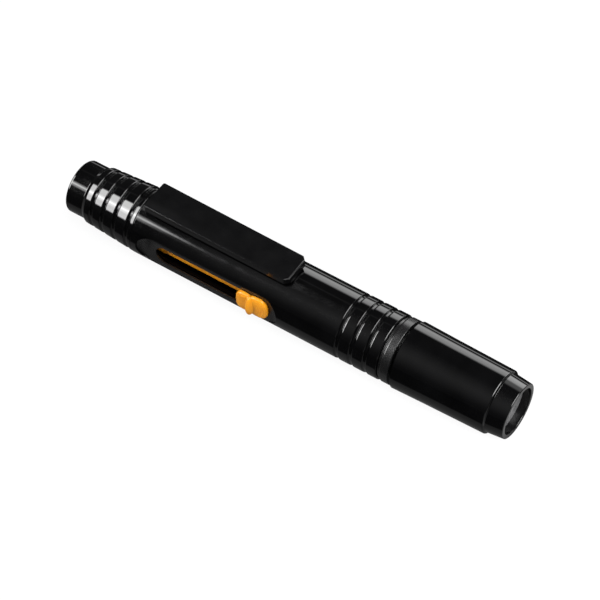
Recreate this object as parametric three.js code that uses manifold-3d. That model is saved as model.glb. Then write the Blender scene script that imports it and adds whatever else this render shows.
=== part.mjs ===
// Lens cleaning pen, in millimetres: the pen lies along X with its brush end at -X and its cap at +X,
// its clip on top (+Z) and its slider slot facing -Y.
import * as THREE from 'three';
import { mergeVertices } from 'three/addons/utils/BufferGeometryUtils.js';
import Module from 'manifold-3d';

const wasm = await Module();
wasm.setup();

// Driving dimensions. X stations are measured along the pen from the middle of its length.
const barrelRadius = 7.6;
const penLength = 112.6;
const gap = 0.3; // clearance between pieces that touch
const sides = 40; // flats round the large turned pieces
const smallSides = 24; // flats round the small turned pieces inside

const noseEnd = -penLength / 2;
const capEnd = penLength / 2;
const noseSeam = noseEnd + 19;
const barrelEnd = capEnd - 30.15;
const bandEnd = barrelEnd + 2.85;
const capMouth = barrelEnd + 3.65; // the closed cap leaves a dark line beside the band

// Slider window in the barrel
const flatHeight = barrelRadius * Math.cos(Math.PI / 6); // distance of the flat from the pen's axis
const windowHalfWidth = barrelRadius * Math.sin(Math.PI / 6);
const windowStart = noseEnd + 20.2;
const windowEnd = windowStart + 37.1;
const slotHalfWidth = 2.5;
const slotStart = windowStart + 4.8;
const slotEnd = windowEnd - 2.7;
const plateThickness = 0.9;

// Inside of the barrel and nose
const boreRadius = 5.6;
const noseBoreRadius = 5.25;
const mouthRadius = 4.8;

// Slider and brush
const buttonLength = 8.7;
const buttonCentre = slotEnd - buttonLength / 2 + 0.5;
const stemTop = 4.6; // distance of the stem's outer face from the axis
const stemHalfWidth = 1.8;
const ferruleRadius = 4.4;
const brushTip = noseEnd + 1.6;
const ferruleStart = brushTip + 17.8;

// Clip
const clipHalfWidth = 3.9;
const clipThickness = 1.5;
const clipStart = noseEnd + 20.3;
const clipLength = 38.1;
const clipRootHeight = 10.05; // outer face at the foot, from the axis
const clipTipHeight = 9.35; // outer face at the free end

// Neck and cap
const neckRadius = 5.3;
const neckEnd = capMouth + 6.5;
const capMouthRadius = barrelRadius * 1.024;
const capShoulderRadius = barrelRadius * 0.962;
const capShoulder = capEnd - 4.1;
const capBoreRadius = 6.6;
const recessRadius = 5.4;
const recessDepth = 2;

const materials = {
  glossBlack: { color: 0x0b0b0c, roughness: 0.12, metalness: 0 },
  satinBlack: { color: 0x131314, roughness: 0.42, metalness: 0 },
  matteGrey: { color: 0x2a2a2b, roughness: 0.7, metalness: 0 },
  paleGrey: { color: 0x5a5a5b, roughness: 0.6, metalness: 0 },
  orange: { color: 0xf29a12, roughness: 0.35, metalness: 0 },
  steel: { color: 0x9a9ca0, roughness: 0.3, metalness: 1 },
  bristle: { color: 0x1c1a18, roughness: 0.8, metalness: 0 },
  rubber: { color: 0x161616, roughness: 0.85, metalness: 0 },
  suede: { color: 0x3a3734, roughness: 0.95, metalness: 0 },
  carbon: { color: 0x101010, roughness: 1, metalness: 0 },
};

const pen = new THREE.Group();

function add(name, geometry, material) {
  const mesh = new THREE.Mesh(geometry, new THREE.MeshStandardMaterial(materials[material]));
  mesh.name = name;
  pen.add(mesh);
}

// A solid of revolution about X. Its profile is a list of [x, radius]: outwards side first, with x rising,
// and then, on a hollow piece, the inner side with x falling.
function turned(profile, flats = sides) {
  const onAxis = profile[0][1] === 0;
  const outline = profile.map(([x, radius]) => new THREE.Vector2(radius, x));
  if (!onAxis) {
    outline.push(outline[0].clone());
  }
  const geometry = new THREE.LatheGeometry(outline, flats, Math.PI / flats);
  return geometry.rotateZ(-Math.PI / 2);
}

function disc(start, end, radius, flats = smallSides) {
  return turned([[start, 0], [start, radius], [end, radius], [end, 0]], flats);
}

function block(xRange, yRange, zRange) {
  const [size, centre] = [new THREE.Vector3(), new THREE.Vector3()];
  const box = new THREE.Box3(
    new THREE.Vector3(xRange[0], yRange[0], zRange[0]),
    new THREE.Vector3(xRange[1], yRange[1], zRange[1]),
  );
  box.getSize(size);
  box.getCenter(centre);
  return new THREE.BoxGeometry(size.x, size.y, size.z).translate(centre.x, centre.y, centre.z);
}

// A prism that faces -Y: an outline in X and Z, from one depth to another along -Y.
function sideways(shape, nearAxis, farFromAxis, curveSteps = 8) {
  const options = { depth: farFromAxis - nearAxis, bevelEnabled: false, curveSegments: curveSteps };
  const geometry = new THREE.ExtrudeGeometry(shape, options);
  return geometry.rotateX(Math.PI / 2).translate(0, -nearAxis, 0);
}

// A long outline with half-ellipses for ends, along X.
function oval(start, end, halfWidth, startReach, endReach) {
  const shape = new THREE.Shape();
  const quarter = Math.PI / 2;
  shape.absellipse(end - endReach, 0, endReach, halfWidth, -quarter, quarter, false, 0);
  shape.absellipse(start + startReach, 0, startReach, halfWidth, quarter, 3 * quarter, false, 0);
  shape.closePath();
  return shape;
}

function solid(geometry) {
  const bare = geometry.clone();
  bare.deleteAttribute('normal');
  bare.deleteAttribute('uv');
  const merged = mergeVertices(bare, 1e-4);
  const vertProperties = new Float32Array(merged.attributes.position.array);
  const triVerts = new Uint32Array(merged.index.array);
  return new wasm.Manifold(new wasm.Mesh({ numProp: 3, vertProperties, triVerts }));
}

function geometryOf(manifold) {
  const mesh = manifold.getMesh();
  const geometry = new THREE.BufferGeometry();
  geometry.setAttribute('position', new THREE.BufferAttribute(new Float32Array(mesh.vertProperties), 3));
  geometry.setIndex(new THREE.BufferAttribute(new Uint32Array(mesh.triVerts), 1));
  geometry.computeVertexNormals();
  return geometry;
}

function cut(geometry, ...tools) {
  return geometryOf(tools.reduce((rest, tool) => rest.subtract(solid(tool)), solid(geometry)));
}

function join(...geometries) {
  return geometryOf(geometries.map(solid).reduce((whole, next) => whole.add(next)));
}

// The four profile points of one groove with sloping walls.
function groove(centre, halfWidth, depth, radiusAt) {
  const floor = radiusAt(centre) - depth;
  return [
    [centre - halfWidth, radiusAt(centre - halfWidth)],
    [centre - halfWidth / 2, floor],
    [centre + halfWidth / 2, floor],
    [centre + halfWidth, radiusAt(centre + halfWidth)],
  ];
}

const clipSlope = Math.atan2(clipRootHeight - clipTipHeight, clipLength);
const footStart = clipStart + 0.1;
const footLength = 3.2;
const footHalfWidth = 3.4;
const tongueLength = 2;
const tongueHalfWidth = 1.6;
const tongueStart = footStart + (footLength - tongueLength) / 2;
const tongueDepth = 6.3; // distance of the tongue's lower end from the axis

function barrel() {
  const gripGrooves = [10.05, 6.55, 3.05].map((distance) => barrelEnd - distance);
  const grooveHalfWidth = 0.52;
  const grooveDepth = 0.35;
  const edge = 0.3;
  const spigotStart = noseSeam - 5.75;
  const spigotRadius = 6.05;
  const body = turned([
    [spigotStart, spigotRadius],
    [noseSeam, spigotRadius],
    [noseSeam, barrelRadius - edge / 2],
    [noseSeam + edge / 2, barrelRadius],
    ...gripGrooves.flatMap((x) => groove(x, grooveHalfWidth, grooveDepth, () => barrelRadius)),
    [barrelEnd - edge, barrelRadius],
    [barrelEnd, barrelRadius - edge],
    [barrelEnd, boreRadius],
    [noseSeam + 1, boreRadius],
    [noseSeam, noseBoreRadius],
    [spigotStart, noseBoreRadius],
  ]);
  const window = oval(windowStart, windowEnd, windowHalfWidth, 4.9, 4);
  const pocket = sideways(window, flatHeight - plateThickness - gap, barrelRadius + 2);
  const reach = slotHalfWidth + gap;
  const slot = sideways(oval(slotStart - gap, slotEnd + gap, reach, reach, reach), 3, barrelRadius + 2);
  const clipSocket = block(
    [tongueStart - gap, tongueStart + tongueLength + gap],
    [-tongueHalfWidth - gap, tongueHalfWidth + gap],
    [boreRadius / 2, barrelRadius + 2],
  );
  return cut(body, pocket, slot, clipSocket);
}

function slotPlate() {
  const outline = oval(windowStart + gap, windowEnd - gap, windowHalfWidth - gap, 4.6, 3.7);
  const slotShape = oval(slotStart, slotEnd, slotHalfWidth, slotHalfWidth, slotHalfWidth);
  const plate = sideways(outline, flatHeight - plateThickness, flatHeight);
  return cut(plate, sideways(slotShape, 0, barrelRadius + 1));
}

function noseSleeve() {
  const collarRadius = 6.27;
  const collarRound = 0.5;
  const stepStart = noseEnd + 4.6;
  const ribStart = noseEnd + 5.5;
  const ribStartRadius = 6.8;
  const taper = 0.06; // radius gained per millimetre along the ribs
  const ribRadius = (x) => Math.min(ribStartRadius + taper * (x - ribStart), barrelRadius - 0.06);
  const grooves = [7.35, 10.4, 13.7, 17.25].map((distance) => noseEnd + distance);
  const grooveHalfWidth = 0.42;
  const grooveDepth = 0.4;
  const counterbore = noseSeam - 6.05;
  const counterboreRadius = 6.35;
  const edge = 0.15;
  const lip = 1.4;
  return turned([
    [noseEnd, collarRadius - collarRound],
    [noseEnd + collarRound * 0.3, collarRadius - collarRound * 0.3],
    [noseEnd + collarRound, collarRadius],
    [stepStart, collarRadius],
    [ribStart, ribRadius(ribStart)],
    ...grooves.flatMap((x) => groove(x, grooveHalfWidth, grooveDepth, ribRadius)),
    [noseSeam - gap - edge, ribRadius(noseSeam)],
    [noseSeam - gap, ribRadius(noseSeam) - edge],
    [noseSeam - gap, counterboreRadius],
    [counterbore, counterboreRadius],
    [counterbore, noseBoreRadius],
    [noseEnd + lip, noseBoreRadius],
    [noseEnd + lip, mouthRadius],
    [noseEnd + edge, mouthRadius],
    [noseEnd, mouthRadius + edge],
  ]);
}

const shaveAngle = Math.PI / 5; // how far the free end slopes back from upright
const shaveReach = 0.6;

function pocketClip() {
  const corner = 1.4;
  const end = clipStart + clipLength;
  const outline = new THREE.Shape();
  outline.moveTo(clipStart, -clipHalfWidth);
  outline.lineTo(end - corner, -clipHalfWidth);
  outline.lineTo(end, corner - clipHalfWidth);
  outline.lineTo(end, clipHalfWidth - corner);
  outline.lineTo(end - corner, clipHalfWidth);
  outline.lineTo(clipStart, clipHalfWidth);
  outline.closePath();
  const bevel = 0.25;
  const plate = new THREE.ExtrudeGeometry(outline, {
    depth: clipThickness - 2 * bevel,
    bevelThickness: bevel,
    bevelSize: bevel,
    bevelOffset: -bevel,
    bevelSegments: 1,
  });
  plate.translate(-clipStart, 0, bevel - clipThickness);
  plate.rotateY(clipSlope);
  plate.translate(clipStart, 0, clipRootHeight);
  const shave = block([0, 2], [-clipHalfWidth - 1, clipHalfWidth + 1], [-2, 2]);
  shave.rotateY(-shaveAngle);
  shave.translate(end - shaveReach, 0, clipTipHeight);
  const foot = block(
    [footStart, footStart + footLength],
    [-footHalfWidth, footHalfWidth],
    [barrelRadius + gap, clipRootHeight - clipThickness / 2],
  );
  const tongue = block(
    [tongueStart, tongueStart + tongueLength],
    [-tongueHalfWidth, tongueHalfWidth],
    [tongueDepth, barrelRadius + 2 * gap],
  );
  return join(cut(plate, shave), foot, tongue);
}

const neckHalfLength = 2.4;
const neckHalfWidth = 1.5;

function thumbButton() {
  const base = flatHeight + gap;
  const bevel = 0.5;
  const lobes = [
    { centre: buttonCentre - 2.15, reach: 2.2, halfWidth: 2.9, height: 0.9 },
    { centre: buttonCentre + 1.55, reach: 2.8, halfWidth: 3.15, height: 0.9 },
  ];
  const pads = lobes.map(({ centre, reach, halfWidth, height }) => {
    const shape = new THREE.Shape();
    shape.absellipse(centre, 0, reach, halfWidth, 0, 2 * Math.PI, false, 0);
    const geometry = new THREE.ExtrudeGeometry(shape, {
      depth: height - bevel,
      bevelThickness: bevel,
      bevelSize: bevel,
      bevelOffset: -bevel,
      bevelSegments: 2,
      curveSegments: 12,
    });
    return geometry.rotateX(Math.PI / 2).translate(0, -base - bevel, 0);
  });
  const ridgeRadius = 1.1;
  const ridgeHalfWidth = 2.4;
  const ridge = new THREE.SphereGeometry(ridgeRadius, 16, 10);
  ridge.scale(1, 1, ridgeHalfWidth / ridgeRadius);
  ridge.translate(buttonCentre + 0.25, -flatHeight - 1.1, 0);
  const web = block(
    [buttonCentre - neckHalfLength, buttonCentre + neckHalfLength],
    [-base - 1, -base - 0.1],
    [-neckHalfWidth, neckHalfWidth],
  );
  const neck = block(
    [buttonCentre - neckHalfLength, buttonCentre + neckHalfLength],
    [-base - 0.5, -stemTop + 1.2],
    [-neckHalfWidth, neckHalfWidth],
  );
  return join(...pads, ridge, web, neck);
}

const carriageFront = ferruleStart + 3.7;
const frontDiscLength = 2.5;
const shoeHalfLength = 4.6;

function brushCarriage() {
  const front = disc(carriageFront, carriageFront + frontDiscLength, 4.9);
  const stem = block(
    [carriageFront + 1, buttonCentre],
    [-stemTop, -stemTop + 2.2],
    [-stemHalfWidth, stemHalfWidth],
  );
  const shoe = disc(buttonCentre - shoeHalfLength, buttonCentre + shoeHalfLength, neckRadius);
  const shoeTop = block(
    [buttonCentre - 2 * shoeHalfLength, buttonCentre + 2 * shoeHalfLength],
    [-barrelRadius, -stemTop],
    [-barrelRadius, barrelRadius],
  );
  const shoeHollow = block(
    [buttonCentre - 2 * shoeHalfLength, buttonCentre + 2 * shoeHalfLength],
    [-1, barrelRadius],
    [-barrelRadius, barrelRadius],
  );
  const socket = block(
    [buttonCentre - neckHalfLength - gap, buttonCentre + neckHalfLength + gap],
    [-barrelRadius, -stemTop + 1.2 + gap],
    [-neckHalfWidth - gap, neckHalfWidth + gap],
  );
  return cut(join(front, stem, cut(shoe, shoeTop, shoeHollow)), socket);
}

// An arched strip between the carriage's shoe and the far side of the bore.
function detentLeaf() {
  const thickness = 0.25;
  const shoeFace = -1 + gap;
  const farSide = boreRadius - 0.6;
  const span = 8;
  const arch = new THREE.Shape();
  arch.moveTo(-span / 2, shoeFace);
  arch.quadraticCurveTo(0, 2 * farSide - shoeFace, span / 2, shoeFace);
  arch.lineTo(span / 2 - thickness, shoeFace);
  arch.quadraticCurveTo(0, 2 * (farSide - thickness) - shoeFace, thickness - span / 2, shoeFace);
  arch.closePath();
  const width = 2;
  const strip = new THREE.ExtrudeGeometry(arch, { depth: width, bevelEnabled: false, curveSegments: 10 });
  return strip.translate(buttonCentre, 0, -width / 2);
}

function brushFerrule() {
  const end = carriageFront - gap;
  const wall = 0.5;
  return turned([
    [ferruleStart, ferruleRadius],
    [end, ferruleRadius],
    [end, 0],
    [end - wall, 0],
    [end - wall, ferruleRadius - wall],
    [ferruleStart, ferruleRadius - wall],
  ], smallSides);
}

function brushBristles() {
  const rootRadius = ferruleRadius - 0.5 - gap;
  return turned([
    [brushTip, 0],
    [brushTip, 2.2],
    [brushTip + 2.5, 3.6],
    [brushTip + 7, 4.25],
    [ferruleStart - 2, 4.1],
    [ferruleStart, rootRadius],
    [carriageFront - 0.5 - 2 * gap, rootRadius],
    [carriageFront - 0.5 - 2 * gap, 0],
  ], smallSides);
}

const stemRadius = 1.6;
const stemRoot = capMouth + 1.7;
const headStart = neckEnd + 3.4;
const headEnd = headStart + 2.1;

function neckPlug() {
  const spigotStart = barrelEnd - 8;
  const flangeStart = barrelEnd + gap;
  const flangeRadius = barrelRadius - 0.07;
  const edge = 0.2;
  const seamDepth = 0.45; // the band stands back here, so the joint shows as a groove
  const bandStart = flangeStart + 0.5;
  return turned([
    [spigotStart, 0],
    [spigotStart, neckRadius],
    [flangeStart, neckRadius],
    [flangeStart, flangeRadius - seamDepth],
    [bandStart - edge, flangeRadius - seamDepth],
    [bandStart, flangeRadius - edge],
    [bandStart + edge, flangeRadius],
    [bandEnd - edge / 2, flangeRadius],
    [bandEnd, flangeRadius - edge / 2],
    [bandEnd, neckRadius],
    [neckEnd - edge, neckRadius],
    [neckEnd, neckRadius - edge],
    [neckEnd, stemRadius + gap],
    [stemRoot - gap, stemRadius + gap],
    [stemRoot - gap, 0],
  ]);
}

function tipStem() {
  return turned([
    [stemRoot, 0],
    [stemRoot, stemRadius],
    [neckEnd + 0.6, stemRadius],
    [neckEnd + 1.4, stemRadius - 0.5],
    [headStart - 1, stemRadius - 0.5],
    [headStart - 0.4, stemRadius],
    [headStart + 1, stemRadius],
    [headStart + 1, 0],
  ], smallSides);
}

function tipHead() {
  const radius = 4.3;
  return turned([
    [headStart, stemRadius + 0.8],
    [headStart + 0.5, radius - 0.4],
    [headStart + 1.1, radius],
    [headEnd, radius],
    [headEnd, 0],
    [headStart + 1 + gap, 0],
    [headStart + 1 + gap, stemRadius + gap],
    [headStart, stemRadius + gap],
  ], smallSides);
}

const cushionStart = headEnd + gap;
const padStart = cushionStart + 1.2 + gap;
const padRim = padStart + 0.9;

function tipPad() {
  const radius = 4.4;
  return turned([
    [padStart, 0],
    [padStart, radius - 0.2],
    [padStart + 0.3, radius],
    [padRim - 0.2, radius],
    [padRim, radius - 0.3],
    [padRim - 0.25, radius / 2],
    [padRim - 0.4, 0],
  ], smallSides);
}

function capGripRing() {
  const minorRadius = 0.42;
  const ring = new THREE.TorusGeometry(neckRadius + gap + minorRadius, minorRadius, 8, smallSides);
  return ring.rotateY(Math.PI / 2).translate(capMouth + 2.6, 0, 0);
}

const mouthLipLength = 1.7;
const linerRadius = capBoreRadius - gap;
const endPlugStart = capEnd - 6.4;
const cupEnd = endPlugStart - gap;

function capShell() {
  const mouthEdge = 0.2;
  const shoulderRound = 0.35;
  const stepRadius = capShoulderRadius - 0.5;
  const rimRadius = 6.46;
  const rimRound = 0.4;
  const rimEdge = 0.2;
  const boreEnd = capEnd - recessDepth;
  return turned([
    [capMouth, capMouthRadius - mouthEdge],
    [capMouth + mouthEdge, capMouthRadius],
    [capMouth + 7.5, barrelRadius * 0.999],
    [capShoulder - shoulderRound, capShoulderRadius],
    [capShoulder, capShoulderRadius - shoulderRound],
    [capShoulder + 0.35, stepRadius],
    [capEnd - rimRound, rimRadius],
    [capEnd - rimRound * 0.3, rimRadius - rimRound * 0.3],
    [capEnd, rimRadius - rimRound],
    [capEnd, recessRadius + rimEdge],
    [capEnd - rimEdge, recessRadius],
    [boreEnd, recessRadius],
    [boreEnd, capBoreRadius],
    [capMouth + mouthLipLength, capBoreRadius],
    [capMouth + mouthLipLength, neckRadius + 2 * gap],
    [capMouth, neckRadius + 2 * gap],
  ]);
}

function capLiner() {
  const start = capMouth + 3.4;
  const end = padStart - 0.4;
  const inner = neckRadius + gap;
  return turned([[start, linerRadius], [end, linerRadius], [end, inner], [start, inner]]);
}

function carbonCup() {
  const start = padStart - 0.1;
  const inner = 5.2;
  const floor = cupEnd - 0.9;
  return turned([
    [start, linerRadius],
    [cupEnd, linerRadius],
    [cupEnd, 0],
    [floor, 0],
    [floor, inner],
    [start, inner],
  ], smallSides);
}

function carbonPad() {
  const start = padRim + gap;
  const end = cupEnd - 0.9 - gap;
  return disc(start, end, 4.9);
}

// The floor of the cap's recess, with a low round boss in the middle.
function capEndPlug() {
  const face = capEnd - recessDepth - gap;
  const bossRadius = 2.6;
  const bossHeight = 0.4;
  return turned([
    [endPlugStart, 0],
    [endPlugStart, linerRadius],
    [face, linerRadius],
    [face, bossRadius],
    [face + bossHeight, bossRadius - 0.3],
    [face + bossHeight, 0],
  ], smallSides);
}

add('barrel', barrel(), 'glossBlack');
add('slot_plate', slotPlate(), 'matteGrey');
add('nose_sleeve', noseSleeve(), 'glossBlack');
add('pocket_clip', pocketClip(), 'satinBlack');
add('thumb_button', thumbButton(), 'orange');
add('brush_carriage', brushCarriage(), 'orange');
add('detent_leaf', detentLeaf(), 'steel');
add('brush_ferrule', brushFerrule(), 'steel');
add('brush_bristles', brushBristles(), 'bristle');
add('neck_plug', neckPlug(), 'matteGrey');
add('tip_stem', tipStem(), 'rubber');
add('tip_head', tipHead(), 'satinBlack');
add('tip_cushion', disc(cushionStart, cushionStart + 1.2, 4.1), 'rubber');
add('tip_pad', tipPad(), 'suede');
add('cap_grip_ring', capGripRing(), 'rubber');
add('cap_shell', capShell(), 'glossBlack');
add('cap_liner', capLiner(), 'satinBlack');
add('carbon_cup', carbonCup(), 'satinBlack');
add('carbon_pad', carbonPad(), 'carbon');
add('cap_end_plug', capEndPlug(), 'paleGrey');

// The origin is under the middle of the pen, on the surface that it lies on.
const flatCosine = Math.cos(Math.PI / sides);
const ridgeTop = flatHeight + 2.2;
const backOfCap = capMouthRadius * flatCosine;
pen.position.set(0, (ridgeTop - backOfCap) / 2, backOfCap);

export default pen;
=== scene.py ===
"""Lens cleaning pen: detailed pieces, materials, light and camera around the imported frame.

Lengths in this script are millimetres until a mesh is made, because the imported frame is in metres.
The pen lies along X, its clip is on top and its slider slot faces -Y. A turned piece is drawn as a
profile of (station along the pen, radius, corner rounding) points.
"""

import math
import random

import bmesh
import bpy
from mathutils import Matrix, Vector


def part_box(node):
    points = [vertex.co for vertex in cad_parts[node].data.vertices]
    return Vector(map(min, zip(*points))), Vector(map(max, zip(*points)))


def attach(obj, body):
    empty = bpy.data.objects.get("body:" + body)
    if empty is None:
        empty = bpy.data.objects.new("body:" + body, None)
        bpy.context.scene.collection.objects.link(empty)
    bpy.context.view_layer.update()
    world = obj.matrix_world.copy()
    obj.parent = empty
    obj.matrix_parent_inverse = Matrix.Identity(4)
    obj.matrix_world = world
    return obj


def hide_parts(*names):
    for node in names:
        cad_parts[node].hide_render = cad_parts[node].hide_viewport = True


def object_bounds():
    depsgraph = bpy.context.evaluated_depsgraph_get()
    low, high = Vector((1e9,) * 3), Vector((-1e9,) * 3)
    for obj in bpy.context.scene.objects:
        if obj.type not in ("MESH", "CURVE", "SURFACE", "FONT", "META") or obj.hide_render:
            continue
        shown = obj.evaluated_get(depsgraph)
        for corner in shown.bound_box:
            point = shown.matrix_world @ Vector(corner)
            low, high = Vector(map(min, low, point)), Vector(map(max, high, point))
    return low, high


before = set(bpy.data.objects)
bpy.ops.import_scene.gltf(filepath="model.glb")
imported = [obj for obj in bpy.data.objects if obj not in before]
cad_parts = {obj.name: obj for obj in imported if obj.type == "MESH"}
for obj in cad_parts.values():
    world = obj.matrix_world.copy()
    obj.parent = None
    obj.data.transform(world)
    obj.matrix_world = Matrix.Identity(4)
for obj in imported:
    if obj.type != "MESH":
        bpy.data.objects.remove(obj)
cad_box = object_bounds()

MM = 0.001
STEPS = 160  # facets round a large turned piece
SMALL_STEPS = 72  # facets round a small one
ARC_STEPS = 5  # facets round a rounded corner of a profile
SHARP_ANGLE = 38  # edges sharper than this many degrees stay crisp
SEED = 7


def span(node):
    """The lowest and highest corner of a node, in millimetres."""
    low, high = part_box(node)
    return [v / MM for v in low], [v / MM for v in high]


# Stations along the pen, from the frame
(NOSE_START, _, _), (NOSE_STOP, _, _) = span("nose_sleeve")
(CAP_START, CAP_LOW_Y, CAP_LOW_Z), (CAP_STOP, CAP_HIGH_Y, CAP_HIGH_Z) = span("cap_shell")
(SPIGOT_START, _, _), (BARREL_STOP, _, _) = span("barrel")
(PLATE_START, PLATE_FACE_Y, _), (PLATE_STOP, _, _) = span("slot_plate")
AXIS_Y = (CAP_LOW_Y + CAP_HIGH_Y) / 2
AXIS_Z = (CAP_LOW_Z + CAP_HIGH_Z) / 2
FLOOR_Z = cad_box[0][2] / MM

# Shared sizes
BARREL_R = 7.66
GAP = 0.3  # clearance between pieces in the frame
SEAM = 0.06  # the fine line left between fitted pieces
BORE_R = 5.6  # inside of the barrel
NOSE_BORE_R = 5.25
NECK_R = 5.3  # the neck that the cap runs on
CAP_BORE_R = 6.6
LINER_R = CAP_BORE_R - GAP
STEM_R = 1.6  # the cleaning tip's stem
FLAT = AXIS_Y - PLATE_FACE_Y  # distance of the slider flat from the axis


# ---------------------------------------------------------------- camera

LEAN = math.radians(20.0)  # how far the pen's axis leans out of the picture plane
TURN = math.radians(33.4)  # how far the camera stands round the pen from straight above
CAMERA_DISTANCE = 527.6
FOCAL = 147.0
SENSOR_WIDTH = 36.0
NEAR_CLIP = 0.01
AIM_X = 2.3  # the pen station in the middle of the frame
AIM_DROP = 0.29  # how far below the axis the middle of the frame lies


def add_camera():
    toward = Vector((
        math.sin(LEAN),
        -math.cos(LEAN) * math.sin(TURN),
        math.cos(LEAN) * math.cos(TURN),
    ))
    aim = Vector((
        AIM_X,
        AXIS_Y - AIM_DROP * math.cos(TURN),
        AXIS_Z - AIM_DROP * math.sin(TURN),
    ))
    data = bpy.data.cameras.new("camera")
    data.lens = FOCAL
    data.sensor_width = SENSOR_WIDTH
    data.clip_start = NEAR_CLIP
    camera = bpy.data.objects.new("camera", data)
    camera.location = (aim + toward * CAMERA_DISTANCE) * MM
    camera.rotation_euler = toward.to_track_quat("Z", "Y").to_euler()
    bpy.context.collection.objects.link(camera)
    bpy.context.scene.camera = camera


add_camera()


# ---------------------------------------------------------------- materials

class Graph:
    """Short ways to write a node tree."""

    def __init__(self, tree):
        self.nodes, self.links = tree.nodes, tree.links

    def maths(self, operation, *values):
        node = self.nodes.new("ShaderNodeMath")
        node.operation = operation
        for socket, value in zip(node.inputs, values):
            if isinstance(value, (int, float)):
                socket.default_value = value
            else:
                self.links.new(value, socket)
        return node.outputs["Value"]

    def spread(self, value, low, high, start=0.3, stop=0.7, ease=False):
        """Carries a value from one range to another and clamps it there."""
        node = self.nodes.new("ShaderNodeMapRange")
        node.interpolation_type = "SMOOTHSTEP" if ease else "LINEAR"
        node.inputs["From Min"].default_value = start
        node.inputs["From Max"].default_value = stop
        node.inputs["To Min"].default_value = low
        node.inputs["To Max"].default_value = high
        self.links.new(value, node.inputs["Value"])
        return node.outputs["Result"]

    def window(self, value, low, high, soft):
        """One between low and high, nothing outside, with soft edges."""
        rise = self.spread(value, 0.0, 1.0, low - soft, low + soft, True)
        fall = self.spread(value, 1.0, 0.0, high - soft, high + soft, True)
        return self.maths("MULTIPLY", rise, fall)

    def parts(self, vector):
        node = self.nodes.new("ShaderNodeSeparateXYZ")
        self.links.new(vector, node.inputs["Vector"])
        return node.outputs["X"], node.outputs["Y"], node.outputs["Z"]


class Shader(Graph):
    """A Principled material whose patterns are laid out in millimetres on the piece itself."""

    def __init__(self, name):
        self.material = bpy.data.materials.new(name)
        self.material.use_nodes = True
        super().__init__(self.material.node_tree)
        self.bsdf = self.nodes["Principled BSDF"]
        self.place = self.nodes.new("ShaderNodeTexCoord").outputs["Object"]

    def coordinates(self, stretch=(1, 1, 1)):
        mapping = self.nodes.new("ShaderNodeMapping")
        mapping.inputs["Scale"].default_value = [s / MM for s in stretch]
        self.links.new(self.place, mapping.inputs["Vector"])
        return mapping.outputs["Vector"]

    def noise(self, scale, detail=3.0, rough=0.55, stretch=(1, 1, 1)):
        node = self.nodes.new("ShaderNodeTexNoise")
        node.inputs["Scale"].default_value = scale
        node.inputs["Detail"].default_value = detail
        node.inputs["Roughness"].default_value = rough
        self.links.new(self.coordinates(stretch), node.inputs["Vector"])
        return node.outputs["Fac"]

    def cells(self, scale):
        node = self.nodes.new("ShaderNodeTexVoronoi")
        node.inputs["Scale"].default_value = scale
        self.links.new(self.coordinates(), node.inputs["Vector"])
        return node.outputs["Distance"]

    def blend(self, factor, first, second):
        node = self.nodes.new("ShaderNodeMix")
        node.data_type = "RGBA"
        self.links.new(factor, node.inputs["Factor"])
        for socket, value in zip((node.inputs[6], node.inputs[7]), (first, second)):
            if isinstance(value, tuple):
                socket.default_value = (*value, 1.0)
            else:
                self.links.new(value, socket)
        return node.outputs[2]

    def colour(self, value):
        self.links.new(value, self.bsdf.inputs["Base Color"])

    def roughness(self, value):
        self.links.new(value, self.bsdf.inputs["Roughness"])

    def bump(self, height, depth, strength=1.0):
        node = self.nodes.new("ShaderNodeBump")
        node.inputs["Strength"].default_value = strength
        node.inputs["Distance"].default_value = depth * MM
        self.links.new(height, node.inputs["Height"])
        self.links.new(node.outputs["Normal"], self.bsdf.inputs["Normal"])

    def set(self, socket, value):
        self.bsdf.inputs[socket].default_value = value


def gloss_black():
    """Polished black plastic: flow marks, specks of dust and hairline scratches along the pen."""
    s = Shader("gloss_black")
    deep, clouded = (0.0003, 0.0003, 0.00035), (0.0009, 0.0009, 0.001)
    flow = s.spread(s.noise(scale=0.12, detail=4.0), 0.0, 1.0)
    dust = s.spread(s.noise(scale=5.0, detail=2.0), 0.0, 1.0, start=0.72, stop=0.8)
    s.colour(s.blend(dust, s.blend(flow, deep, clouded), (0.004, 0.004, 0.004)))
    haze = s.spread(s.noise(scale=0.4, detail=5.0), 0.05, 0.085)
    hairlines = s.noise(scale=3.0, detail=6.0, rough=0.7, stretch=(0.06, 1, 1))
    scratches = s.spread(hairlines, 0.0, 0.08, start=0.62, stop=0.72)
    s.roughness(s.maths("ADD", haze, scratches))
    s.bump(s.noise(scale=0.5, detail=2.0), depth=0.004, strength=0.35)
    s.set("IOR", 1.5)
    return s.material


def satin_black():
    """Fine-grained satin plastic with faint scuffs along the pen."""
    s = Shader("satin_black")
    deep, clouded = (0.0011, 0.0011, 0.0012), (0.0021, 0.0021, 0.0022)
    cloud = s.spread(s.noise(scale=0.25, detail=4.0), 0.0, 1.0)
    streaks = s.noise(scale=2.0, detail=6.0, rough=0.7, stretch=(0.2, 1, 1))
    scuffs = s.spread(streaks, 0.0, 1.0, start=0.66, stop=0.76)
    s.colour(s.blend(scuffs, s.blend(cloud, deep, clouded), (0.004, 0.004, 0.004)))
    s.roughness(s.spread(s.noise(scale=6.0, detail=3.0), 0.09, 0.14))
    s.bump(s.noise(scale=9.0, detail=3.0, rough=0.6), depth=0.005, strength=0.25)
    s.set("IOR", 1.46)
    return s.material


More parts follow.
